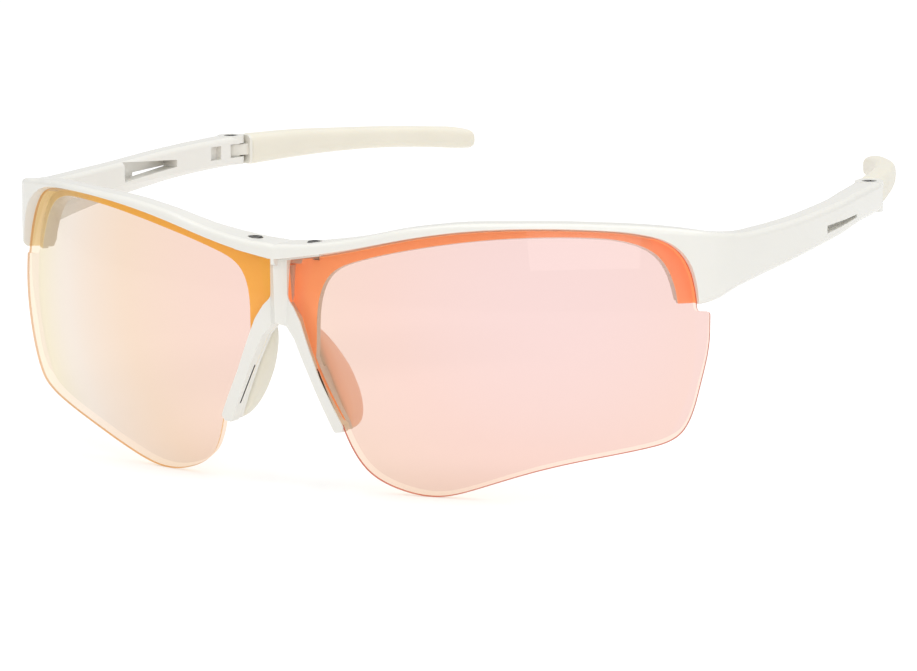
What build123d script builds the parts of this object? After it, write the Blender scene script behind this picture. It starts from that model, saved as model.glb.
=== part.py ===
from build123d import *

import os
from math import cos, radians, sin

import numpy as np
from scipy.interpolate import PchipInterpolator

# Wraparound sport sunglasses with two lenses, a screwed-on nose bridge and folding rubber-covered temples.
#
# Millimetres, +Z up. X = 0 is the mid-plane, +X is the wearer's left, the front faces -Y. The origin is under
# the middle of the overall box, on the surface that the two lens bottoms stand on. Heights are measured from
# that surface. Depths are measured back from the front of the brow and turned into Y by the helper `at`.
# The left half is modelled and the right half is its mirror image.

os.makedirs("parts", exist_ok=True)

# ---------------------------------------------------------------- driving dimensions
half_depth = 69.43  # depth of the origin behind the front of the brow

lens_radius = 71.4  # front surface of each lens
lens_thickness = 1.8
lens_centre_x = 12.9
lens_centre_depth = 72.3
lens_centre_height = 26.45
lens_toe = 20.0  # degrees that the middle of the lens faces outwards
lens_play = 0.002  # by how much the pocket's outline is larger than the lens
rim_thickness = 1.0

hinge_x = 65.1
hinge_depth = 88.9
arm_end_heading = 98.5  # degrees from +X at which the arm reaches the hinge
temple_toe = 26.0  # degrees that the open temple points inwards
ear_radius = 2.45
knuckle_bottom = 39.9
knuckle_top = 45.1
fork_bottom = 41.25
fork_top = 43.75
tongue_radius = 1.9
tongue_height = 2.0
washer_height = 0.2
washer_radius = 1.8
pin_radius = 0.7
pin_play = 0.03
hinge_head_radius = 1.25
hinge_seat = 44.35
hinge_insert_low = 39.95
hinge_insert_high = 41.15

bridge_screw_x = 5.7
bridge_screw_depth = 3.7
bridge_screw_head_radius = 1.2
bridge_screw_seat = 40.45
bridge_head_half_width = 8.2
bridge_proud = 0.3  # how far the nose bridge stands in front of the lens
post_half_width = 1.6
insert_radius = 1.15

thin_gap = 0.03  # gap kept between pieces that lie against each other


def at(x, depth, height):
    """A point of the left half from its distance off the mid-plane, its depth and its height."""
    return Vector(x, depth - half_depth, height)


# ---------------------------------------------------------------- lens geometry
lens_centre = at(lens_centre_x, lens_centre_depth, lens_centre_height)
lens_across = Vector(cos(radians(lens_toe)), sin(radians(lens_toe)), 0)
lens_facing = Vector(sin(radians(lens_toe)), -cos(radians(lens_toe)), 0)


def lens_plane(radius):
    """The plane square to the middle of the lens, this far from the centre of its sphere."""
    return Plane(origin=lens_centre + lens_facing * radius, x_dir=lens_across, z_dir=lens_facing)


def lens_outline():
    """Outline of the lens, flattened on the plane that touches its middle: x outwards, y up."""
    with BuildSketch() as flat:
        with BuildLine():
            top = Spline((-40.9, 13.2), (-25.4, 14.95), (-15.7, 16.7), (-6.0, 18.1), (5.1, 18.95),
                         (18.5, 19.3), (27.2, 18.85), tangents=((1, 0.06), (1, -0.13)))
            corner = Spline(top @ 1, (32.0, 17.45), (35.3, 14.0), (36.6, 9.8), (36.95, 6.8),
                            tangents=(top % 1, (0.08, -1)))
            step = FilletPolyline(corner @ 1, (37.1, 5.5), (39.95, 5.5), (39.85, 2.5), radius=(0.9, 0.6))
            sill = Spline(step @ 1, (39.4, -2.2), (38.0, -8.0), (36.6, -13.4), (34.3, -17.3), (28.0, -19.3),
                          (18.9, -20.3), (8.4, -22.3), (-2.4, -26.2), (-10.0, -28.7), (-17.3, -28.2),
                          (-23.2, -25.4), (-26.2, -20.8), (-27.6, -16.8))
            FilletPolyline(sill @ 1, (-28.6, -16.2), (-33.0, -8.6), (-37.6, 2.4), (-40.4, 5.4),
                           (-40.9, 13.2), radius=(0.5, 4.0, 2.0, 1.5))
        make_face()
    return flat.sketch


def aperture_outline():
    """Inner edge of the frame behind the lens, on the same plane. It is open below."""
    with BuildSketch() as flat:
        with BuildLine():
            sweep = Spline((-34.2, -5.0), (-33.8, 0.5), (-33.4, 5.8), (-31.2, 10.4), (-25.0, 13.2),
                           (-13.5, 15.5), (1.6, 17.5), (16.0, 18.3), (25.0, 17.7), (30.2, 15.3),
                           (32.6, 11.5), (33.6, 7.4))
            Polyline(sweep @ 1, (33.8, 6.5), (46.0, 6.5), (46.0, -34.0), (-24.0, -34.0), (-27.9, -17.0),
                     (-32.4, -8.6), sweep @ 0)
        make_face()
    return flat.sketch


def cone(outline, inner_radius, outer_radius, grow=0.0):
    """The solid that an outline sweeps along the rays from the lens centre between two distances."""
    with BuildPart() as rays:
        for radius in (inner_radius, outer_radius):
            with BuildSketch(lens_plane(radius)):
                add(outline)
                scale(by=(radius / lens_radius) * (1 + grow))
        loft(ruled=True)
    return rays.part


def ball(radius):
    """A solid sphere about the centre of the left lens."""
    with BuildPart() as solid:
        with Locations(lens_centre):
            Sphere(radius)
    return solid.part


back_radius = lens_radius - lens_thickness
with BuildPart() as left_lens:
    add(cone(lens_outline(), back_radius - 8, lens_radius + 4))
    add(ball(lens_radius), mode=Mode.INTERSECT)
    add(ball(back_radius), mode=Mode.SUBTRACT)

# ---------------------------------------------------------------- front frame
# Sections of the brow and the side arm, from the mid-plane to the hinge: the point of the outer face
# (x, depth), the heading of the path in plan, the depth of the section, its lowest and highest height,
# and the width and height of the bevel along its lower inner edge.
frame_sections = [
    (0.0, -0.4, 0, 7.4, 37.0, 40.6, 0.4, 0.4),
    (7.0, 0.0, 3, 7.0, 37.4, 41.2, 0.4, 0.4),
    (15.0, 1.3, 7, 5.4, 38.7, 42.5, 0.4, 0.4),
    (24.0, 3.0, 10, 4.5, 40.9, 44.5, 0.4, 0.4),
    (35.0, 5.7, 18.4, 4.4, 42.6, 45.75, 0.4, 0.4),
    (46.0, 10.4, 28.1, 4.4, 42.8, 45.95, 0.4, 0.4),
    (56.0, 17.0, 38, 4.4, 41.3, 45.55, 0.4, 0.6),
    (62.0, 21.2, 46, 4.6, 33.6, 45.0, 0.4, 1.0),
    (66.8, 24.2, 60, 4.6, 32.5, 44.45, 0.5, 1.5),
    (69.0, 28.6, 77, 4.4, 34.1, 43.8, 1.0, 2.0),
    (70.0, 36.0, 85, 4.2, 35.4, 43.3, 1.6, 2.6),
    (70.6, 51.0, 89, 4.1, 37.0, 43.5, 1.6, 2.4),
    (70.2, 67.0, 93, 4.1, 38.5, 44.2, 1.2, 1.2),
    (69.0, 78.0, 96, 4.4, 39.5, 44.75, 0.6, 0.6),
]
section_rounding = 0.95
bevel_rounding = 0.2


def frame_section(x, depth, heading, thickness, low, high, bevel_width, bevel_height):
    """Cross-section of the brow or the arm: x outwards from the outer face, y up."""
    along = Vector(cos(radians(heading)), sin(radians(heading)), 0)
    outwards = Vector(sin(radians(heading)), -cos(radians(heading)), 0)
    with BuildSketch(Plane(origin=at(x, depth, 0), x_dir=outwards, z_dir=-along)) as section:
        with BuildLine():
            FilletPolyline((0, high), (0, low), (bevel_width - thickness, low),
                           (-thickness, low + bevel_height), (-thickness, high), close=True,
                           radius=(section_rounding, section_rounding, bevel_rounding, bevel_rounding,
                                   section_rounding))
        make_face()
    return section.sketch


hinge = at(hinge_x, hinge_depth, 0)
arm_end_out = Vector(sin(radians(arm_end_heading)), -cos(radians(arm_end_heading)), 0)
arm_end = hinge + arm_end_out * ear_radius
last_section = (arm_end.X, arm_end.Y + half_depth, arm_end_heading, 2 * ear_radius,
                knuckle_bottom, knuckle_top, 0.4, 0.4)
station_spacing = 4.0


def even_sections():
    """The frame's sections, interpolated to even steps along its path, which keeps the loft smooth."""
    rows = np.array([*frame_sections, last_section], dtype=float)
    steps = np.hypot(np.diff(rows[:, 0]), np.diff(rows[:, 1]))
    travelled = np.concatenate([[0.0], np.cumsum(steps)])
    count = round(travelled[-1] / station_spacing)
    return PchipInterpolator(travelled, rows)(np.linspace(0, travelled[-1], count + 1))


def arch_outline():
    """Opening over the nose, seen from the front, with its lower end left open."""
    with BuildSketch() as flat:
        with BuildLine():
            Polyline((0, 5), (0, 27.6), (1.5, 27.0), (3.1, 25.1), (5.5, 20.0), (10.2, 9.4), (10.2, 5),
                     close=True)
        make_face()
        fillet(flat.vertices().sort_by_distance((3.1, 25.1))[0], radius=3.0)
    return flat.sketch


def rim_outline():
    """Outer limits of the wall behind the lens, seen from the front; its free edges are cut later."""
    with BuildSketch() as flat:
        with BuildLine():
            Polyline((0, 38.5), (14, 40.5), (24, 43.2), (35, 44.6), (50, 44.6), (60, 43.3), (65.4, 40.5),
                     (65.6, 32.5), (40, 32.5), (13.0, 10.3), (0, 10.3), close=True)
        make_face()
    return flat.sketch


def head_outline(grow=0.0):
    """Half of the nose bridge's hidden head, which lies over the lens tops, seen from the front."""
    with BuildSketch() as flat:
        with BuildLine():
            Polyline((0, 38.05 - grow), (1.7, 38.05 - grow), (bridge_head_half_width + grow, 39.15 - grow),
                     (bridge_head_half_width + grow, 40.05 + grow), (0, 39.6 + grow), close=True)
        make_face()
    return flat.sketch


def facing(outline, near, far):
    """A front-view outline extruded through these depths."""
    with BuildPart() as slab:
        with BuildSketch(Plane(origin=at(0, far, 0), x_dir=(1, 0, 0), z_dir=(0, -1, 0))):
            add(outline)
        extrude(amount=far - near)
    return slab.part


def rod(centre, radius, low, high):
    """An upright round bar between two heights."""
    with BuildPart() as bar:
        with BuildSketch(Plane.XY.offset(low)):
            with Locations((centre.X, centre.Y)):
                Circle(radius)
        extrude(amount=high - low)
    return bar.part


def neck_outline(grow=0.0):
    """Half of the post's upper end, which runs inside the brow to the hidden head, seen from the front."""
    with BuildSketch() as flat:
        with BuildLine():
            Polyline((0, 36.0), (post_half_width + grow, 36.0), (post_half_width + grow, 38.3), (0, 38.3),
                     close=True)
        make_face()
    return flat.sketch


def ridge(forward=0.0):
    """Two facets of the post, left half: a crest on the mid-plane that slopes back to the post's edge."""
    with BuildPart() as wedge:
        for height, crest_depth in ((26.0, 0.5), (36.6, -0.1), (38.4, 0.5)):
            with BuildSketch(Plane.XY.offset(height)):
                with BuildLine():
                    Polyline(at(0, crest_depth - forward, 0), at(1.75, 1.75 - forward, 0), at(1.75, 3.5, 0),
                             at(0, 3.5, 0), close=True)
                make_face()
        loft(ruled=True)
    return wedge.part


def bridge_outline():
    """Half of the nose bridge, seen from the front: post, shoulder and arm."""
    with BuildSketch() as flat:
        with BuildLine():
            Polyline((0, 36.95), (post_half_width, 36.95), (post_half_width, 31.6), (2.9, 30.3), (4.35, 28.0),
                     (7.9, 18.9), (11.75, 11.0), (11.3, 10.1), (9.95, 9.9), (5.5, 20.0), (3.1, 25.1),
                     (1.5, 27.0), (0, 27.6), close=True)
        make_face()
        for corner, rounding in (((post_half_width, 31.6), 2.0), ((2.9, 30.3), 1.2), ((4.35, 28.0), 3.0),
                                 ((3.1, 25.1), 3.0), ((11.75, 11.0), 0.5), ((9.95, 9.9), 0.4)):
            fillet(flat.vertices().sort_by_distance(corner)[0], radius=rounding)
    return flat.sketch


# ---------------------------------------------------------------- side view helpers
def side_slab(points, near_x, far_x):
    """A side-view outline of (depth, height) points extruded between two distances off the mid-plane."""
    with BuildPart() as slab:
        with BuildSketch(Plane(origin=(near_x, -half_depth, 0), x_dir=(0, 1, 0), z_dir=(1, 0, 0))):
            with BuildLine():
                Polyline(*points, close=True)
            make_face()
        extrude(amount=far_x - near_x)
    return slab.part


lens_pocket = cone(lens_outline(), back_radius - 9, lens_radius + 6, grow=lens_play)
rim_radius = back_radius - thin_gap
bridge_screw = at(bridge_screw_x, bridge_screw_depth, 0)

# Vent in the arm: a deep pocket inside that opens to a narrow slot outside.
vent_pocket = [(55.8, 40.0), (55.8, 43.6), (71.6, 42.4), (71.6, 41.1)]
vent_slot = [(61.5, 39.7), (61.5, 41.05), (75.2, 41.25), (75.2, 40.75)]
vent_floor_x = 68.7

# ---------------------------------------------------------------- pad geometry
pad_root = at(7.4, 5.25, 18.0)
pad_down = Vector(0.395, 0.03, -0.918).normalized()
pad_back = (Vector(0.08, 1.0, 0) - pad_down * Vector(0.08, 1.0, 0).dot(pad_down)).normalized()
pad_side = pad_down.cross(pad_back)
pad_plane = Plane(origin=pad_root, x_dir=pad_back, z_dir=pad_side)
pad_thickness = 3.1
core_thickness = 0.8


def pad_core_plate(grow=0.0):
    """Stiff tab that holds the nose pad: its root lies in the frame behind the lens."""
    with BuildPart() as plate:
        with BuildSketch(pad_plane):
            with Locations((1.6, -1.5)):
                RectangleRounded(5.2 + 2 * grow, 8.0 + 2 * grow, 0.8)
        extrude(amount=core_thickness / 2 + grow, both=True)
    return plate.part


# ---------------------------------------------------------------- nose pads
with BuildPart() as left_pad_core:
    add(pad_core_plate())

with BuildPart() as left_nose_pad:
    with BuildSketch(pad_plane):
        with BuildLine():
            FilletPolyline((0.15, 9.5), (2.2, 9.5), (4.3, 6.2), (6.1, 1.5), (6.4, -3.6), (5.2, -7.2),
                           (3.0, -8.8), (0.15, -8.9), close=True,
                           radius=(0.7, 1.0, 3.0, 3.5, 4.0, 1.5, 1.2, 0.7))
        make_face()
    extrude(amount=pad_thickness / 2, both=True)
    chamfer(left_nose_pad.faces().sort_by(Axis(pad_root, pad_side))[-1].edges(), length=0.5)
    chamfer(left_nose_pad.faces().sort_by(Axis(pad_root, pad_side))[0].edges(), length=0.5)
    add(ball(rim_radius - rim_thickness - thin_gap), mode=Mode.INTERSECT)
    add(pad_core_plate(thin_gap), mode=Mode.SUBTRACT)

# ---------------------------------------------------------------- front frame
with BuildPart() as rim:
    add(facing(rim_outline(), -1, 30))
    add(ball(rim_radius), mode=Mode.INTERSECT)
    add(ball(rim_radius - rim_thickness), mode=Mode.SUBTRACT)
    add(facing(arch_outline(), -2, 40), mode=Mode.SUBTRACT)

with BuildPart() as lens_room:
    add(lens_pocket)
    add(ball(rim_radius), mode=Mode.SUBTRACT)

# Room for the temple's tongue: open to the rear and to the inside, closed by a wall ahead on the outside.
with BuildPart() as fork_room:
    add(rod(hinge, tongue_radius + 0.1, fork_bottom, fork_top))
    with BuildSketch(Plane(origin=hinge + Vector(0, 0, fork_bottom), x_dir=-arm_end_out, z_dir=(0, 0, 1))):
        with BuildLine():
            Polyline((-4.0, 0), (-4.0, -4.0), (5.0, -4.0), (5.0, 2.7), (-1.25, 2.7), (-1.25, 0), close=True)
        make_face()
    extrude(amount=fork_top - fork_bottom)

# Blind recess on the inside of the arm, a little ahead of the fork.
with BuildPart() as arm_recess:
    with BuildSketch(Plane(origin=hinge + Vector(0, 0, fork_bottom), x_dir=-arm_end_out, z_dir=(0, 0, 1))):
        with BuildLine():
            Polyline((1.1, 5.2), (5.0, 5.2), (5.0, 8.0), (1.1, 8.0), close=True)
        make_face()
    extrude(amount=fork_top - fork_bottom)

with BuildPart() as post_room:
    add(facing(neck_outline(grow=0.05), -2, 2.9))
    add(ridge(forward=0.05), mode=Mode.INTERSECT)

with BuildPart() as frame_side:
    loft([frame_section(*row) for row in even_sections()])
    add(rod(hinge, ear_radius, knuckle_bottom, knuckle_top))
    add(rim.part)
    add(cone(aperture_outline(), back_radius - 20, lens_radius + 2), mode=Mode.SUBTRACT)
    add(lens_room.part, mode=Mode.SUBTRACT)
    add(facing(head_outline(grow=0.05), 1.0, 6.1), mode=Mode.SUBTRACT)
    add(post_room.part, mode=Mode.SUBTRACT)
    add(rod(bridge_screw, pin_radius + 0.05, 38, 42), mode=Mode.SUBTRACT)
    add(rod(bridge_screw, bridge_screw_head_radius + 0.1, bridge_screw_seat, 43), mode=Mode.SUBTRACT)
    add(pad_core_plate(thin_gap), mode=Mode.SUBTRACT)
    add(side_slab(vent_pocket, 60, vent_floor_x), mode=Mode.SUBTRACT)
    add(side_slab(vent_slot, vent_floor_x - 0.1, 75), mode=Mode.SUBTRACT)
    add(fork_room.part, mode=Mode.SUBTRACT)
    add(arm_recess.part, mode=Mode.SUBTRACT)
    add(rod(hinge, pin_radius + pin_play, 41, 46), mode=Mode.SUBTRACT)
    add(rod(hinge, hinge_head_radius + 0.05, hinge_seat, 46), mode=Mode.SUBTRACT)
    add(rod(hinge, insert_radius + 0.02, hinge_insert_low, hinge_insert_high), mode=Mode.SUBTRACT)

with BuildPart() as front_frame:
    add(frame_side.part)
    mirror(about=Plane.YZ)

# ---------------------------------------------------------------- nose bridge
with BuildPart() as slit:
    with BuildSketch(Plane(origin=at(7.5, 3.0, 16.7), x_dir=(0.41, 0, -0.912), z_dir=(0, -1, 0))):
        RectangleRounded(7.2, 2.8, 0.15)
    extrude(amount=0.19, both=True)

with BuildPart() as crest:
    add(facing(bridge_outline(), -2, 2.5))
    add(facing(neck_outline(), -2, 2.8))
    add(ridge(), mode=Mode.INTERSECT)

with BuildPart() as lens_edge_room:
    add(lens_pocket)
    add(ball(lens_radius + thin_gap), mode=Mode.INTERSECT)

with BuildPart() as bridge_side:
    add(facing(bridge_outline(), -2, 8))
    add(ball(lens_radius + bridge_proud), mode=Mode.INTERSECT)
    add(crest.part)
    add(ball(back_radius), mode=Mode.SUBTRACT)
    add(facing(head_outline(), 1.05, 6.05))
    add(lens_edge_room.part, mode=Mode.SUBTRACT)
    add(slit.part, mode=Mode.SUBTRACT)
    add(rod(bridge_screw, insert_radius + 0.02, 38.0, 41), mode=Mode.SUBTRACT)

with BuildPart() as nose_bridge:
    add(bridge_side.part)
    mirror(about=Plane.YZ)

# ---------------------------------------------------------------- bridge hardware
with BuildPart() as bridge_screw_side:
    add(rod(bridge_screw, bridge_screw_head_radius, bridge_screw_seat, bridge_screw_seat + 0.75))
    fillet(bridge_screw_side.edges().group_by(Axis.Z)[-1], radius=0.3)
    add(rod(bridge_screw, pin_radius, 38.85, bridge_screw_seat))
    with BuildSketch(Plane.XY.offset(bridge_screw_seat + 0.75)):
        with Locations((bridge_screw.X, bridge_screw.Y)):
            RegularPolygon(0.6, 6)
    extrude(amount=-0.45, mode=Mode.SUBTRACT)

with BuildPart() as bridge_screws:
    add(bridge_screw_side.part)
    mirror(about=Plane.YZ)

with BuildPart() as bridge_insert_side:
    add(rod(bridge_screw, insert_radius, 38.85, 39.8))
    add(rod(bridge_screw, pin_radius + 0.02, 38, 41), mode=Mode.SUBTRACT)

with BuildPart() as bridge_inserts:
    add(bridge_insert_side.part)
    mirror(about=Plane.YZ)

# ---------------------------------------------------------------- hinge hardware
with BuildPart() as left_hinge_screw:
    add(rod(hinge, hinge_head_radius, hinge_seat, hinge_seat + 0.7))
    fillet(left_hinge_screw.edges().group_by(Axis.Z)[-1], radius=0.2)
    add(rod(hinge, pin_radius, 40.1, hinge_seat))
    with BuildSketch(Plane.XY.offset(hinge_seat + 0.7)):
        with Locations((hinge.X, hinge.Y)):
            Rectangle(1.7, 0.35)
            Rectangle(0.35, 1.7)
    extrude(amount=-0.35, mode=Mode.SUBTRACT)

with BuildPart() as left_hinge_insert:
    add(rod(hinge, insert_radius, hinge_insert_low, hinge_insert_high))
    add(rod(hinge, pin_radius + 0.02, hinge_insert_low, hinge_insert_high), mode=Mode.SUBTRACT)

with BuildPart() as left_hinge_washers:
    for low in (fork_bottom + thin_gap, fork_top - thin_gap - washer_height):
        add(rod(hinge, washer_radius, low, low + washer_height))
    add(rod(hinge, pin_radius + 0.05, 41, 44), mode=Mode.SUBTRACT)

# ---------------------------------------------------------------- temple
temple_along = Vector(-sin(radians(temple_toe)), cos(radians(temple_toe)), 0)
temple_out = Vector(cos(radians(temple_toe)), sin(radians(temple_toe)), 0)
tongue_low = (fork_bottom + fork_top - tongue_height) / 2
tongue_high = tongue_low + tongue_height
head_start = 2.85
sleeve_start = 3.4


def temple_plan(height):
    """Plan view of the temple at this height: x along it from the hinge, y towards the middle."""
    return Plane(origin=hinge + Vector(0, 0, height), x_dir=temple_along, z_dir=(0, 0, 1))


def temple_side(offset_out):
    """Side view of the temple, this far outwards of its middle: x along it, y up."""
    return Plane(origin=hinge + temple_out * offset_out, x_dir=temple_along, z_dir=temple_out)


# Sections of the rubber sleeve: distance from the hinge, offset outwards, width, lowest and highest height.
sleeve_sections = [
    (sleeve_start, 0.0, 4.6, 39.5, 45.2),
    (15.0, 1.8, 4.3, 39.9, 45.0),
    (26.0, 3.0, 4.0, 40.1, 44.45),
    (37.0, 3.3, 3.8, 39.9, 43.9),
    (45.5, 2.6, 3.6, 39.4, 43.35),
    (51.3, 1.7, 3.4, 38.9, 42.9),
    (53.8, 1.25, 3.1, 38.75, 42.2),
    (55.0, 1.0, 2.2, 39.3, 41.1),
]
sleeve_rows = np.array(sleeve_sections)
plug_end = 12.0
plug_half_width = 1.2
core_start = 6.0
core_end = 50.0
core_half_width = 0.5


def temple_strip(side_points, half_width):
    """A strip with this side view (distance from the hinge, height) that follows the sleeve's bow in plan."""
    distances = np.array([sleeve_start, 12.0, 20.0, 29.0, 38.0, 47.0, 53.0])
    offsets = PchipInterpolator(sleeve_rows[:, 0], sleeve_rows[:, 1])(distances)
    with BuildPart() as strip:
        with BuildSketch(temple_plan(35)):
            with BuildLine():
                outer = Spline(*[(s, -o - half_width) for s, o in zip(distances, offsets)])
                inner = Spline(*[(s, -o + half_width) for s, o in zip(distances, offsets)])
                Polyline(outer @ 0, (3.0, -half_width), (3.0, half_width), inner @ 0)
                Line(inner @ 1, outer @ 1)
            make_face()
        extrude(amount=15)
        with BuildSketch(temple_side(-8)):
            with BuildLine():
                Polyline(*side_points, close=True)
            make_face()
        extrude(amount=16, mode=Mode.INTERSECT)
    return strip.part


def plug(play=0.0):
    """The part of the temple's head that reaches into the sleeve."""
    low_edge = [(plug_end + play, 41.0 - play), (3.2, 40.9 - play)]
    high_edge = [(3.2, 44.2 + play), (plug_end + play, 44.0 + play)]
    return temple_strip(low_edge + high_edge, plug_half_width + play)


def core(play=0.0):
    """The flat wire along the middle of the sleeve."""
    low_edge = [(core_end + play, 40.2 - play), (26.0, 41.4 - play), (core_start - play, 41.4 - play)]
    high_edge = [(core_start - play, 43.5 + play), (26.0, 43.2 + play), (core_end + play, 41.9 + play)]
    return temple_strip(low_edge + high_edge, core_half_width + play)


# Space swept by the ears of the fork, above and below the tongue.
with BuildPart() as ear_room:
    add(rod(hinge, ear_radius + 0.17, 36, 50))
    add(rod(hinge, ear_radius + 0.2, tongue_low, tongue_high), mode=Mode.SUBTRACT)

with BuildPart() as left_temple_head:
    add(rod(hinge, tongue_radius, tongue_low, tongue_high))
    with BuildSketch(temple_plan(tongue_low)):
        with Locations((1.6, 0)):
            Rectangle(3.2, 3.4)
    extrude(amount=tongue_height)
    with BuildSketch(Plane(origin=hinge + temple_along * 1.2, x_dir=temple_out, z_dir=-temple_along)):
        with Locations((0, 42.4)):
            RectangleRounded(4.5, 5.3, 1.0)
    extrude(amount=-(sleeve_start - thin_gap - 1.2))
    with BuildSketch(temple_plan(35)):
        with BuildLine():
            Polyline((head_start, 3), (head_start - 0.15, 0), (0, 0), (0, 3), close=True)
        make_face()
    extrude(amount=20, mode=Mode.SUBTRACT)
    add(ear_room.part, mode=Mode.SUBTRACT)
    with BuildSketch(temple_plan(tongue_low)):
        with Locations((1.6, 0)):
            Rectangle(3.2, 3.4)
    extrude(amount=tongue_height)
    add(plug())
    add(core(thin_gap), mode=Mode.SUBTRACT)
    add(rod(hinge, pin_radius + pin_play, 36, 50), mode=Mode.SUBTRACT)

with BuildPart() as left_core_wire:
    add(core())


def sleeve_section(distance, outwards, width, low, high):
    """Rounded cross-section of the sleeve, square to the temple."""
    middle = hinge + temple_along * distance
    with BuildSketch(Plane(origin=middle, x_dir=temple_out, z_dir=-temple_along)) as flat:
        with Locations((outwards, (low + high) / 2)):
            RectangleRounded(width, high - low, 0.42 * min(width, high - low))
    return flat.sketch


with BuildPart() as left_temple_sleeve:
    stations = np.append(np.linspace(sleeve_rows[0, 0], sleeve_rows[-2, 0], 14), sleeve_rows[-1, 0])
    loft([sleeve_section(*row) for row in PchipInterpolator(sleeve_rows[:, 0], sleeve_rows)(stations)])
    add(plug(thin_gap), mode=Mode.SUBTRACT)
    add(core(thin_gap), mode=Mode.SUBTRACT)

# ---------------------------------------------------------------- labels and files
single_pieces = {
    "front_frame": front_frame,
    "nose_bridge": nose_bridge,
    "bridge_screws": bridge_screws,
    "bridge_inserts": bridge_inserts,
}
handed_pieces = {
    "lens": left_lens,
    "nose_pad": left_nose_pad,
    "pad_core": left_pad_core,
    "hinge_screw": left_hinge_screw,
    "hinge_insert": left_hinge_insert,
    "hinge_washers": left_hinge_washers,
    "temple_head": left_temple_head,
    "core_wire": left_core_wire,
    "temple_sleeve": left_temple_sleeve,
}
for name, piece in single_pieces.items():
    piece.part.label = name
    export_step(piece.part, f"parts/{name}.step")
for name, piece in handed_pieces.items():
    with BuildPart() as twin:
        mirror(piece.part, about=Plane.YZ)
    for side, part in (("left", piece.part), ("right", twin.part)):
        part.label = f"{side}_{name}"
        export_step(part, f"parts/{side}_{name}.step")
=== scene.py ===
"""Looks of the wraparound sport sunglasses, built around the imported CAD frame.

Blender units are metres. X = 0 is the mid-plane, +X is the wearer's left, the brow faces -Y and the floor
is at Z = 0.
"""
from math import cos, pi, radians, sin

import bpy
import numpy as np
from mathutils import Matrix, Vector


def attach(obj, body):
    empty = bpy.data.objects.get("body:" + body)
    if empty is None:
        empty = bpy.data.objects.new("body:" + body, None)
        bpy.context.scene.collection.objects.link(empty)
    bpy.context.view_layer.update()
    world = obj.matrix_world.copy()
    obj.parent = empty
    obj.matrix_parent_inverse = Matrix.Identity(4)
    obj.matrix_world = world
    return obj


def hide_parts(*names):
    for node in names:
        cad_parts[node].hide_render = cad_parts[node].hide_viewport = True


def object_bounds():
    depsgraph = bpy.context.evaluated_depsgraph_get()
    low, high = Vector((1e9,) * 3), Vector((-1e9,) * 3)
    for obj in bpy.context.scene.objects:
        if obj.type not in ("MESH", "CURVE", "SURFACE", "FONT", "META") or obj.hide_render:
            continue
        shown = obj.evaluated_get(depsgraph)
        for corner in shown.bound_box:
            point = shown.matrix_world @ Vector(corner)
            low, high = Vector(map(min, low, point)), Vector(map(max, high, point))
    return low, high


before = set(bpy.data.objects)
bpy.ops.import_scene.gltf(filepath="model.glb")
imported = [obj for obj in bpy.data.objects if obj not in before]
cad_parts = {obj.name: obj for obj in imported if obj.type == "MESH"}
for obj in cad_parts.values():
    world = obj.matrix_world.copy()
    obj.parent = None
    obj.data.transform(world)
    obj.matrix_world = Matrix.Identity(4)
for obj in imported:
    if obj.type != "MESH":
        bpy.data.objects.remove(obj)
cad_low, cad_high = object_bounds()
MM = 0.001


# ---------------------------------------------------------------- node helpers
class Shader:
    """A material's node tree with short calls for making and joining nodes."""

    def __init__(self, name):
        self.material = bpy.data.materials.new(name)
        self.material.use_nodes = True
        self.tree = self.material.node_tree
        self.tree.nodes.clear()
        self.output = self.add("ShaderNodeOutputMaterial")

    def add(self, kind, inputs=None, **settings):
        node = self.tree.nodes.new(kind)
        for key, value in settings.items():
            setattr(node, key, value)
        for key, value in (inputs or {}).items():
            self.set(node.inputs[key], value)
        return node

    def set(self, socket, value):
        if isinstance(value, bpy.types.NodeSocket):
            self.tree.links.new(value, socket)
        else:
            socket.default_value = value

    def math(self, operation, *values, clamp=False):
        node = self.add("ShaderNodeMath", operation=operation, use_clamp=clamp)
        for socket, value in zip(node.inputs, values):
            self.set(socket, value)
        return node.outputs[0]

    def mix(self, factor, low, high):
        node = self.add("ShaderNodeMix", data_type="RGBA")
        self.set(node.inputs[0], factor)
        self.set(node.inputs[6], low)
        self.set(node.inputs[7], high)
        return node.outputs[2]

    def ramp(self, factor, stops):
        node = self.add("ShaderNodeValToRGB", {"Fac": factor})
        elements = node.color_ramp.elements
        while len(elements) < len(stops):
            elements.new(0.5)
        for element, (place, colour) in zip(elements, stops):
            element.position = place
            element.color = (*colour, 1)
        return node.outputs["Color"]

    def noise(self, scale, detail=3.0):
        node = self.add("ShaderNodeTexNoise", {"Vector": self.place(), "Scale": scale, "Detail": detail,
                                               "Roughness": 0.5})
        return node.outputs["Fac"]

    def bump(self, height, distance, strength=1.0):
        node = self.add("ShaderNodeBump", {"Height": height, "Distance": distance, "Strength": strength})
        return node.outputs[0]

    def vector(self, operation, *values):
        node = self.add("ShaderNodeVectorMath", operation=operation)
        for socket, value in zip(node.inputs, values):
            self.set(socket, value)
        return node

    def place(self):
        return self.add("ShaderNodeTexCoord").outputs["Object"]

    def all_of(self, first, *others):
        """One where every test is one, otherwise zero."""
        for other in others:
            first = self.math("MULTIPLY", first, other)
        return first

    def finish(self, shader):
        self.tree.links.new(shader, self.output.inputs["Surface"])
        return self.material


def rgba(colour):
    return (*colour, 1)


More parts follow.
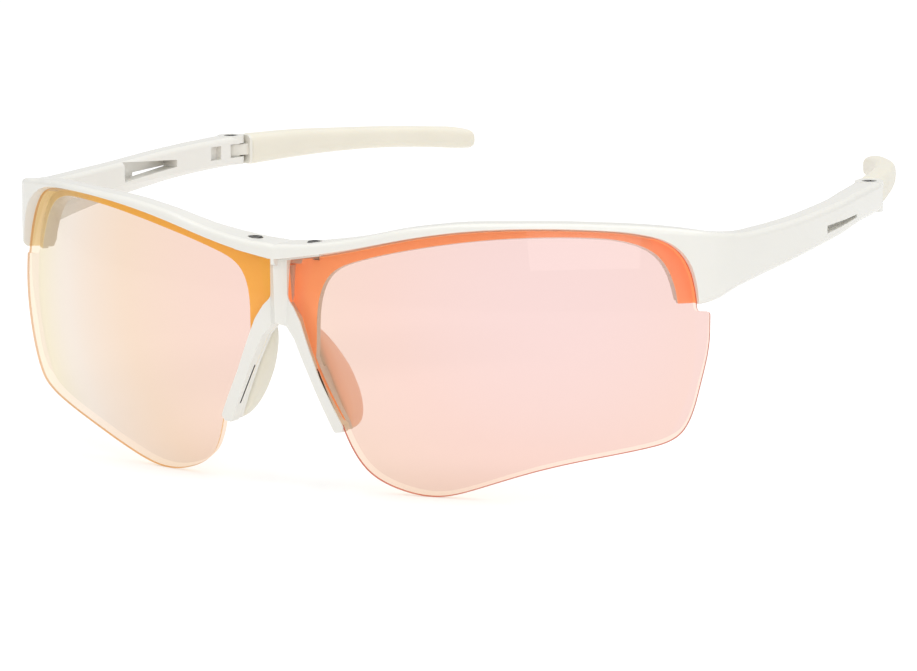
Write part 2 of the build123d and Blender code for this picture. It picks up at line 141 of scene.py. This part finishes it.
# ---------------------------------------------------------------- materials
BROW_FRONT = cad_low.y + 0.4 * MM
LENS_CENTRE = Vector((12.9 * MM, BROW_FRONT + 72.3 * MM, 26.45 * MM))
LENS_RADIUS = 71.4 * MM
LENS_COAT_DEPTH = 0.4 * MM
BED_RADIUS = 69.57 * MM
BED_PLAY = 0.15 * MM
WALL_RADIUS = LENS_RADIUS - 0.95 * MM
WALL_HALF_HEIGHT = 0.97 * MM
POST_SIDE = 1.0 * MM
POST_SIDE_PLAY = 0.5 * MM
POST_LOW = 29 * MM
OUTER_END_START = 50 * MM
OUTER_END_TOP = 43 * MM
FRONT_REACH = 27 * MM
FACES_LENS = 0.7  # least cosine between a face and the ray from the lens's centre
FACES_SIDEWAYS = 0.15  # greatest such cosine of a wall
# By wearer's side: an amber colour and a glow, both painted on the plastic under the lens as stand-ins
# for light tinted by the lens; first near the nose, then at the outer end.
PAINTED_LENS_LIGHT = {
    1: ((1.0, 0.70, 0.36), (0.36, 0.055, 0.025), (1.0, 0.70, 0.40), (0.34, 0.04, 0.03)),
    -1: ((1.0, 0.88, 0.26), (0.32, 0.13, 0.0), (0.90, 0.84, 0.62), (0.10, 0.09, 0.02)),
}


def about_lens(s, side):
    """Distance from the centre of a lens's sphere, and the cosine of the surface's turn away from it."""
    normal = s.add("ShaderNodeNewGeometry").outputs["Normal"]
    centre = Vector((side * LENS_CENTRE.x, LENS_CENTRE.y, LENS_CENTRE.z))
    offset = s.vector("SUBTRACT", s.place(), centre).outputs[0]
    distance = s.vector("LENGTH", offset).outputs["Value"]
    radial = s.vector("NORMALIZE", offset).outputs[0]
    return distance, s.vector("DOT_PRODUCT", radial, normal).outputs["Value"]


def painted_lens_light(s, colour):
    """The colour and a glow, both painted amber on the bed and the walls that a lens covers, standing in for
    light that the tinted lens passes onto them.
    """
    glow = rgba((0, 0, 0))
    x, y, z = s.add("ShaderNodeSeparateXYZ", {0: s.place()}).outputs
    for side in (1, -1):
        distance, away = about_lens(s, side)
        near_bed = s.math("COMPARE", distance, BED_RADIUS, BED_PLAY)
        bed = s.all_of(near_bed, s.math("GREATER_THAN", away, FACES_LENS))
        in_thickness = s.math("COMPARE", distance, WALL_RADIUS, WALL_HALF_HEIGHT)
        outwards = s.math("MULTIPLY", x, float(side))
        post = s.all_of(s.math("COMPARE", outwards, POST_SIDE, POST_SIDE_PLAY),
                        s.math("GREATER_THAN", z, POST_LOW))
        outer_end = s.all_of(s.math("GREATER_THAN", outwards, OUTER_END_START),
                             s.math("LESS_THAN", z, OUTER_END_TOP))
        sideways = s.math("LESS_THAN", s.math("ABSOLUTE", away), FACES_SIDEWAYS)
        wall = s.all_of(in_thickness, sideways, s.math("MAXIMUM", post, outer_end))
        ahead_of_arm = s.math("LESS_THAN", y, BROW_FRONT + FRONT_REACH)
        on_this_side = s.math("GREATER_THAN", outwards, 0.0)
        covered = s.all_of(s.math("MAXIMUM", bed, wall), ahead_of_arm, on_this_side)
        paint, light, end_paint, end_light = PAINTED_LENS_LIGHT[side]
        to_end = s.math("MULTIPLY_ADD", outwards, 1 / (20 * MM), -2.0, clamp=True)
        colour = s.mix(covered, colour, s.mix(to_end, rgba(paint), rgba(end_paint)))
        glow = s.mix(covered, glow, s.mix(to_end, rgba(light), rgba(end_light)))
    return colour, glow


# The slit in each nose arm, inside which shade is painted: its middle, its direction, and half its length,
# its reach and its thickness.
# The painted shade lies a little to the inner side of the middle.
SLIT_MIDDLE = Vector((7.5 * MM, BROW_FRONT + 3.0 * MM, 16.7 * MM))
SLIT_ALONG = Vector((0.41, 0, -0.912))
SLIT_HALF_LENGTH = 3.65 * MM
SLIT_HALF_REACH = 1.0 * MM
SLIT_HALF_THICKNESS = 0.2 * MM
SLIT_OFFSET = -0.5 * MM
# Colour of the shade painted inside the slits.
SLIT_PAINTED_SHADE = (0.05, 0.045, 0.04)


def painted_slit_shade(s, colour):
    """The colour, with shade painted dark inside the slits so that they read as deep."""
    across = SLIT_ALONG.cross(Vector((0, 1, 0)))
    x, y, z = s.add("ShaderNodeSeparateXYZ", {0: s.place()}).outputs
    off_centre = s.math("ABSOLUTE", x)
    on_left_half = s.add("ShaderNodeCombineXYZ", {0: off_centre, 1: SLIT_MIDDLE.y, 2: z}).outputs[0]
    offset = s.vector("SUBTRACT", on_left_half, SLIT_MIDDLE).outputs[0]
    lengthways = s.vector("DOT_PRODUCT", offset, SLIT_ALONG).outputs["Value"]
    outwards = s.vector("DOT_PRODUCT", offset, across).outputs["Value"]
    inside = s.all_of(s.math("COMPARE", lengthways, 0.0, SLIT_HALF_LENGTH),
                      s.math("COMPARE", outwards, SLIT_OFFSET, SLIT_HALF_REACH),
                      s.math("COMPARE", y, SLIT_MIDDLE.y, SLIT_HALF_THICKNESS))
    return s.mix(inside, colour, rgba(SLIT_PAINTED_SHADE))


def moulded_plastic(name, colour, shade, roughness, subsurface=0.06, paints_lens_light=False, paints_slit_shade=False):
    """Glossy injection-moulded nylon: faint cloudiness, uneven gloss and a slightly wavy skin."""
    s = Shader(name)
    cloud = s.noise(90.0, detail=4)
    grain = s.noise(2600.0, detail=2)
    wave = s.noise(260.0, detail=1)
    height = s.math("MULTIPLY_ADD", grain, 0.25, wave)
    gloss = s.math("MULTIPLY_ADD", cloud, 0.14, roughness - 0.07)
    base = s.mix(cloud, rgba(colour), rgba(shade))
    glow = rgba((0, 0, 0))
    # Where lenses sit, an amber colour and a glow are painted in for light that the tinted lenses pass on; in
    # the slits, shade is painted dark.
    if paints_lens_light:
        base, glow = painted_lens_light(s, base)
    if paints_slit_shade:
        base = painted_slit_shade(s, base)
    body = s.add("ShaderNodeBsdfPrincipled", {
        "Base Color": base,
        "Emission Color": glow,
        "Emission Strength": 1.0 if paints_lens_light else 0.0,
        "Roughness": gloss,
        "IOR": 1.5,
        "Subsurface Weight": subsurface,
        "Subsurface Radius": (1.0, 0.85, 0.6),
        "Subsurface Scale": 1.2 * MM,
        "Normal": s.bump(height, 0.02 * MM, 0.35),
    })
    return s.finish(body.outputs[0])


PAD_GLOW = (0.24, 0.04, 0.02)


def soft_rubber(name, colour, shade, lit_face=None):
    """Satin rubber with a fine spark-eroded grain.

    Faces turned towards lit_face get a painted glow that stands in for light from the tinted lens.
    """
    s = Shader(name)
    glow = rgba((0, 0, 0))
    if lit_face:
        normal = s.add("ShaderNodeNewGeometry").outputs["Normal"]
        turn = s.vector("DOT_PRODUCT", normal, lit_face).outputs["Value"]
        glow = s.mix(s.math("MULTIPLY", turn, 1.4, clamp=True), glow, rgba(PAD_GLOW))
    grain = s.noise(3800.0, detail=3)
    cloud = s.noise(140.0, detail=3)
    body = s.add("ShaderNodeBsdfPrincipled", {
        "Base Color": s.mix(cloud, rgba(colour), rgba(shade)),
        "Emission Color": glow,
        "Emission Strength": 1.0 if lit_face else 0.0,
        "Roughness": s.math("MULTIPLY_ADD", grain, 0.2, 0.42),
        "IOR": 1.45,
        "Subsurface Weight": 0.12,
        "Subsurface Radius": (1.0, 0.8, 0.5),
        "Subsurface Scale": 1.0 * MM,
        "Sheen Weight": 0.15,
        "Sheen Roughness": 0.6,
        "Normal": s.bump(grain, 0.03 * MM, 0.5),
    })
    return s.finish(body.outputs[0])


def turned_metal(name, colour, shade, roughness):
    """Machined metal with fine marks and a little tarnish in patches."""
    s = Shader(name)
    marks = s.noise(9000.0, detail=2)
    patches = s.noise(1200.0, detail=4)
    body = s.add("ShaderNodeBsdfPrincipled", {
        "Base Color": s.mix(patches, rgba(colour), rgba(shade)),
        "Metallic": 1.0,
        "Roughness": s.math("MULTIPLY_ADD", marks, 0.3, roughness - 0.15),
        "Normal": s.bump(marks, 0.01 * MM, 0.4),
    })
    return s.finish(body.outputs[0])


LENS_COAT_GLOSS = 0.55
LENS_EDGE_OPACITY = 0.85
LENS_EDGE_TURN = 0.6  # a face is the lens's cut edge below this cosine
# How much of each colour passes one face of a lens, from face-on to edge-on.
LENS_TINT = [
    (0.0, (0.905, 0.785, 0.77)),
    (0.1, (0.91, 0.78, 0.74)),
    (0.36, (0.90, 0.80, 0.715)),
    (0.6, (0.89, 0.845, 0.80)),
    (0.82, (0.88, 0.84, 0.71)),
    (1.0, (0.80, 0.70, 0.60)),
]


def lens_material(name, side, edge_colour, edge_shade):
    """Tinted polycarbonate with a thin coat on its front: pink face-on and gold at a slant."""
    s = Shader(name)
    distance, away = about_lens(s, side)
    is_edge = s.math("LESS_THAN", s.math("ABSOLUTE", away), LENS_EDGE_TURN)
    is_front = s.math("GREATER_THAN", distance, LENS_RADIUS - LENS_COAT_DEPTH)
    entering = s.math("SUBTRACT", 1.0, s.add("ShaderNodeNewGeometry").outputs["Backfacing"])
    facing = s.add("ShaderNodeLayerWeight", {"Blend": 0.5}).outputs["Facing"]
    tint = s.ramp(facing, LENS_TINT)
    through = s.add("ShaderNodeBsdfTransparent", {"Color": tint})
    haze = s.noise(45.0, detail=2)
    coat = s.add("ShaderNodeBsdfGlossy", {"Color": rgba((1.0, 0.9, 0.85)),
                                          "Roughness": s.math("MULTIPLY_ADD", haze, 0.02, 0.01)})
    mirror = s.add("ShaderNodeFresnel", {"IOR": 1.45}).outputs[0]
    coated = s.math("MULTIPLY", s.math("MULTIPLY", is_front, entering), LENS_COAT_GLOSS)
    surface = s.add("ShaderNodeMixShader", {0: s.math("MULTIPLY", mirror, coated), 1: through.outputs[0],
                                            2: coat.outputs[0]})
    rim = s.add("ShaderNodeBsdfPrincipled", {
        "Base Color": s.mix(s.noise(900.0), rgba(edge_colour), rgba(edge_shade)),
        "Roughness": 0.35,
    })
    clear = s.add("ShaderNodeBsdfTransparent", {"Color": rgba((0.99, 0.92, 0.84))})
    front_line = s.math("MULTIPLY", is_front, LENS_EDGE_OPACITY)
    cut = s.add("ShaderNodeMixShader", {0: front_line, 1: clear.outputs[0], 2: rim.outputs[0]})
    whole = s.add("ShaderNodeMixShader", {0: is_edge, 1: surface.outputs[0], 2: cut.outputs[0]})
    return s.finish(whole.outputs[0])


WHITE = (0.78, 0.77, 0.725)
WHITE_SHADE = (0.745, 0.735, 0.685)
CREAM = (0.78, 0.745, 0.64)
CREAM_SHADE = (0.735, 0.70, 0.59)
PAD_FACES = Vector((0.918, -0.07, 0.39))  # the way the outer face of the left pad looks

# The two white parts that the lenses cover, with lens light painted where a lens covers them and shade
# painted in the bridge's slits; other hard plastic parts, then rubber and metal.
white_plastic = moulded_plastic("white_plastic", WHITE, WHITE_SHADE, 0.24, paints_lens_light=True)
bridge_plastic = moulded_plastic("bridge_plastic", WHITE, WHITE_SHADE, 0.3, paints_lens_light=True,
                                 paints_slit_shade=True)
hinge_plastic = moulded_plastic("hinge_plastic", (0.78, 0.765, 0.70), (0.74, 0.72, 0.65), 0.34)
core_plastic = moulded_plastic("core_plastic", (0.7, 0.69, 0.65), (0.66, 0.64, 0.6), 0.4)
washer_plastic = moulded_plastic("washer_plastic", (0.72, 0.70, 0.64), (0.66, 0.64, 0.58), 0.4)
pad_rubber = {
    side: soft_rubber(f"pad_rubber_{side_name}", CREAM, CREAM_SHADE,
                      Vector((side * PAD_FACES.x, PAD_FACES.y, PAD_FACES.z)))
    for side_name, side in (("left", 1), ("right", -1))
}
sleeve_rubber = soft_rubber("sleeve_rubber", CREAM, CREAM_SHADE)
dark_steel = turned_metal("dark_steel", (0.14, 0.135, 0.13), (0.09, 0.085, 0.08), 0.34)
core_steel = turned_metal("core_steel", (0.5, 0.5, 0.51), (0.4, 0.4, 0.41), 0.36)
brass = turned_metal("brass", (0.62, 0.43, 0.17), (0.5, 0.33, 0.12), 0.3)

FINISHES = {
    "front_frame": white_plastic,
    "nose_bridge": bridge_plastic,
    "bridge_screws": dark_steel,
    "bridge_inserts": brass,
    "left_lens": lens_material("left_lens_tint", 1, (0.70, 0.15, 0.06), (0.58, 0.10, 0.05)),
    "right_lens": lens_material("right_lens_tint", -1, (0.86, 0.48, 0.12), (0.78, 0.38, 0.09)),
}
for side in ("left", "right"):
    FINISHES.update({
        f"{side}_pad_core": core_plastic,
        f"{side}_temple_head": hinge_plastic,
        f"{side}_core_wire": core_steel,
        f"{side}_hinge_screw": dark_steel,
        f"{side}_hinge_insert": brass,
        f"{side}_hinge_washers": washer_plastic,
    })
for node_name, finish in FINISHES.items():
    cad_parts[node_name].data.materials[0] = finish


# ---------------------------------------------------------------- mesh helpers
def new_piece(name, points, faces, material, subdivisions=0):
    """A smooth-shaded mesh object from points in metres."""
    mesh = bpy.data.meshes.new(name)
    mesh.from_pydata([tuple(p) for p in points], [], faces)
    mesh.validate()
    piece = bpy.data.objects.new(name, mesh)
    bpy.context.scene.collection.objects.link(piece)
    mesh.materials.append(material)
    for polygon in mesh.polygons:
        polygon.use_smooth = True
    if subdivisions:
        modifier = piece.modifiers.new("smooth", "SUBSURF")
        modifier.levels = subdivisions
        modifier.render_levels = subdivisions
    return piece


def rings_to_mesh(rings):
    """Points and faces of a closed tube through equal rings, capped with a fan at each end."""
    count = len(rings[0])
    points = [p for ring in rings for p in ring]
    faces = []
    for i in range(len(rings) - 1):
        for j in range(count):
            k = (j + 1) % count
            faces.append((i * count + j, i * count + k, (i + 1) * count + k, (i + 1) * count + j))
    for ring_index, order in ((0, -1), (len(rings) - 1, 1)):
        middle = len(points)
        points.append(np.mean(rings[ring_index], axis=0))
        base = ring_index * count
        for j in range(count):
            edge = (base + j, base + (j + 1) % count)
            faces.append((*edge[::order], middle))
    return points, faces


def smooth_rows(rows, places):
    """Rows of a table eased between its stations by a Catmull-Rom curve, read at these places of column 0."""
    rows = np.array(rows, dtype=float)
    slopes = np.gradient(rows, rows[:, 0], axis=0)
    out = []
    for place in places:
        i = min(max(int(np.searchsorted(rows[:, 0], place)) - 1, 0), len(rows) - 2)
        span = rows[i + 1, 0] - rows[i, 0]
        t = (place - rows[i, 0]) / span
        a, b = rows[i], rows[i + 1]
        hermite = ((2 * t**3 - 3 * t**2 + 1) * a + (t**3 - 2 * t**2 + t) * span * slopes[i]
                   + (3 * t**2 - 2 * t**3) * b + (t**3 - t**2) * span * slopes[i + 1])
        out.append(hermite)
    return np.array(out)


def mirrored(points, side):
    """The points for the wearer's left (side 1) or right (side -1)."""
    return [(side * p[0], p[1], p[2]) for p in points]


def facing_order(faces, side):
    return faces if side > 0 else [f[::-1] for f in faces]


# ---------------------------------------------------------------- rubber sleeves of the temples
HINGE = Vector((65.1, BROW_FRONT / MM + 88.9, 0))
TEMPLE_TOE = radians(26)
# distance from the hinge, offset outwards, width, lowest and highest height, in millimetres
SLEEVE_SECTIONS = [
    (3.4, 0.0, 4.6, 39.5, 45.2),
    (15.0, 1.8, 4.3, 39.9, 45.0),
    (26.0, 3.0, 4.0, 40.1, 44.45),
    (37.0, 3.3, 3.8, 39.9, 43.9),
    (45.5, 2.6, 3.6, 39.4, 43.35),
    (51.3, 1.7, 3.4, 38.9, 42.9),
    (55.0, 1.0, 3.1, 38.75, 42.1),
]
SLEEVE_START = SLEEVE_SECTIONS[0][0]
SLEEVE_END = SLEEVE_SECTIONS[-1][0]


def sleeve_ring(row, shrink, count=40, power=2.9):
    """A rounded-square ring across the temple."""
    distance, outwards, width, low, high = row
    along = Vector((-sin(TEMPLE_TOE), cos(TEMPLE_TOE), 0))
    out = Vector((cos(TEMPLE_TOE), sin(TEMPLE_TOE), 0))
    ring = []
    for j in range(count):
        angle = 2 * pi * j / count
        c, s = cos(angle), sin(angle)
        reach = (abs(c) ** power + abs(s) ** power) ** (-1 / power)
        across = outwards + c * reach * (width / 2 - shrink)
        height = (low + high) / 2 + s * reach * ((high - low) / 2 - shrink)
        ring.append((HINGE + along * distance + out * across + Vector((0, 0, height))) * MM)
    return ring


def make_sleeve(side_name, side):
    """A soft sleeve with rolled edges at its mouth and a domed tip."""
    mouth_roll = 0.35
    tip_roll = 1.5
    places, shrinks = [], []
    for angle in np.linspace(0, pi / 2, 6):
        places.append(SLEEVE_START + mouth_roll * (1 - cos(angle)))
        shrinks.append(mouth_roll * (1 - sin(angle)))
    body_places = np.linspace(SLEEVE_START + mouth_roll, SLEEVE_END - tip_roll, 44)[1:]
    places += list(body_places)
    shrinks += [0.0] * len(body_places)
    for angle in np.linspace(0, pi / 2, 9)[1:]:
        places.append(SLEEVE_END - tip_roll + tip_roll * sin(angle))
        shrinks.append(tip_roll * (1 - cos(angle)))
    rows = smooth_rows(SLEEVE_SECTIONS, places)
    rings = [sleeve_ring(row, shrink) for row, shrink in zip(rows, shrinks)]
    points, faces = rings_to_mesh(rings)
    faces = facing_order(faces, side)
    piece = new_piece(f"{side_name}_sleeve", mirrored(points, side), faces, sleeve_rubber, 1)
    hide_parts(f"{side_name}_temple_sleeve")
    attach(piece, f"{side_name}_temple")


# ---------------------------------------------------------------- nose pads
PAD_ROOT = Vector((7.4, BROW_FRONT / MM + 5.25, 18.0))
PAD_DOWN = Vector((0.395, 0.03, -0.918)).normalized()
PAD_BACK = (Vector((0.08, 1.0, 0)) - PAD_DOWN * Vector((0.08, 1.0, 0)).dot(PAD_DOWN)).normalized()
PAD_SIDE = PAD_DOWN.cross(PAD_BACK)
PAD_THICKNESS = 3.05
PAD_MIDDLE = np.array([2.9, -1.2])
PAD_FULLNESS = 3.2  # exponent: a higher one keeps the pad thick further out
PAD_LEVELS = [0.0, 0.3, 0.55, 0.75, 0.88, 0.96, 1.0]  # its rings, from the middle to the outline
# outline on the pad's own plane: backwards and upwards, in millimetres
PAD_OUTLINE = [
    (0.3, 8.9), (1.0, 9.3), (2.1, 9.0), (3.1, 7.7), (4.2, 5.9), (5.2, 3.6), (5.95, 1.3), (6.2, -1.3),
    (6.1, -4.0), (5.3, -6.5), (4.2, -7.9), (2.8, -8.6), (0.9, -8.7), (0.3, -8.2), (0.25, -4.0),
    (0.25, 0.5), (0.25, 5.0),
]


def closed_curve(corners, count):
    """Even points on a closed Catmull-Rom curve through the corners."""
    corners = np.array(corners, dtype=float)
    fine = []
    for i in range(len(corners)):
        a, b, c, d = (corners[(i + k) % len(corners)] for k in (-1, 0, 1, 2))
        for t in np.linspace(0, 1, 12, endpoint=False):
            fine.append(0.5 * (2 * b + (c - a) * t + (2 * a - 5 * b + 4 * c - d) * t**2
                               + (3 * b - a - 3 * c + d) * t**3))
    fine = np.array(fine + [fine[0]])
    travelled = np.concatenate([[0], np.cumsum(np.linalg.norm(np.diff(fine, axis=0), axis=1))])
    places = np.linspace(0, travelled[-1], count, endpoint=False)
    return np.stack([np.interp(places, travelled, fine[:, k]) for k in (0, 1)], axis=1)


def make_pad(side_name, side):
    """A crowned rubber pad: fullest along its middle, with a rolled edge."""
    outline = closed_curve(PAD_OUTLINE, 56)
    points, faces = [], []
    index = {}
    for face_side in (1, -1):
        for level_number, level in enumerate(PAD_LEVELS):
            if level == 1.0 and face_side < 0:
                index[face_side, level_number] = index[1, level_number]
                continue
            thick = PAD_THICKNESS / 2 * (1 - level**PAD_FULLNESS) ** 0.5
            if level == 0.0:
                index[face_side, 0] = [len(points)]
                ring = PAD_MIDDLE[None, :]
            else:
                index[face_side, level_number] = list(range(len(points), len(points) + len(outline)))
                ring = PAD_MIDDLE + (outline - PAD_MIDDLE) * level
            for back, up in ring:
                spot = PAD_ROOT + PAD_BACK * back - PAD_DOWN * up + PAD_SIDE * (face_side * thick)
                points.append(spot * MM)
    count = len(outline)
    for face_side in (1, -1):
        for level_number in range(1, len(PAD_LEVELS)):
            inner, outer = index[face_side, level_number - 1], index[face_side, level_number]
            for j in range(count):
                k = (j + 1) % count
                if len(inner) == 1:
                    face = (inner[0], outer[j], outer[k])
                else:
                    face = (inner[j], outer[j], outer[k], inner[k])
                faces.append(face if face_side > 0 else face[::-1])
    faces = facing_order(faces, side)
    piece = new_piece(f"{side_name}_pad", mirrored(points, side), faces, pad_rubber[side], 1)
    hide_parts(f"{side_name}_nose_pad")
    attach(piece, "front")


for side_name, side in (("left", 1), ("right", -1)):
    make_sleeve(side_name, side)
    make_pad(side_name, side)


# ---------------------------------------------------------------- floor, light and camera
FLOOR_GLOW = 0.17
WORLD_STRENGTH = 0.65


def pale_floor():
    """A wide, even, pale floor with a weak glow that keeps it near white."""
    s = Shader("floor_paint")
    tone = s.noise(3.0, detail=2)
    paint = s.mix(tone, rgba((0.86, 0.86, 0.86)), rgba((0.84, 0.84, 0.84)))
    body = s.add("ShaderNodeBsdfDiffuse", {"Color": paint})
    glow = s.add("ShaderNodeEmission", {"Strength": FLOOR_GLOW})
    material = s.finish(s.add("ShaderNodeAddShader", {0: body.outputs[0], 1: glow.outputs[0]}).outputs[0])
    half = 6.0
    low = -0.02 * MM
    corners = [(-half, -half, low), (half, -half, low), (half, half, low), (-half, half, low)]
    floor = new_piece("floor", corners, [(0, 1, 2, 3)], material)


def soft_panel(name, place, size, power, aim=(0, 0, 0.03)):
    """A large square soft light that points at the object."""
    data = bpy.data.lights.new(name, "AREA")
    data.shape = "SQUARE"
    data.size = size
    data.energy = power
    lamp = bpy.data.objects.new(name, data)
    bpy.context.scene.collection.objects.link(lamp)
    lamp.location = place
    lamp.rotation_euler = (Vector(aim) - Vector(place)).to_track_quat("-Z", "Y").to_euler()


def studio():
    """An even white surround with two large soft lights."""
    world = bpy.data.worlds.new("studio")
    bpy.context.scene.world = world
    world.use_nodes = True
    background = world.node_tree.nodes["Background"]
    background.inputs["Color"].default_value = (1.0, 1.0, 1.0, 1)
    background.inputs["Strength"].default_value = WORLD_STRENGTH
    soft_panel("overhead", (0.15, -0.2, 2.2), 2.4, 33.0)
    soft_panel("side", (1.2, -1.6, 1.0), 1.2, 8.0)
    bpy.context.scene.view_settings.view_transform = "Standard"


CAMERA_AZIMUTH = radians(29.994)
CAMERA_ELEVATION = radians(9.394)
CAMERA_ROLL = radians(-0.071)
CAMERA_DISTANCE = 769.55 * MM
CAMERA_LENS = 189.9
CAMERA_AIM = Vector((36.61 * MM, cad_low.y - 2.6 * MM, 29.03 * MM))


def camera():
    """The camera, turned about its aim by azimuth, elevation and roll."""
    data = bpy.data.cameras.new("camera")
    data.lens = CAMERA_LENS
    data.sensor_width = 36.0
    data.clip_start = 0.01
    data.clip_end = 50.0
    viewer = bpy.data.objects.new("camera", data)
    bpy.context.scene.collection.objects.link(viewer)
    level = Vector((sin(CAMERA_AZIMUTH), -cos(CAMERA_AZIMUTH), 0))
    away = level * cos(CAMERA_ELEVATION) + Vector((0, 0, sin(CAMERA_ELEVATION)))
    viewer.location = CAMERA_AIM + away * CAMERA_DISTANCE
    turn = (-away).to_track_quat("-Z", "Y").to_matrix() @ Matrix.Rotation(CAMERA_ROLL, 3, "Z")
    viewer.rotation_euler = turn.to_euler()
    bpy.context.scene.camera = viewer


pale_floor()
studio()
camera()
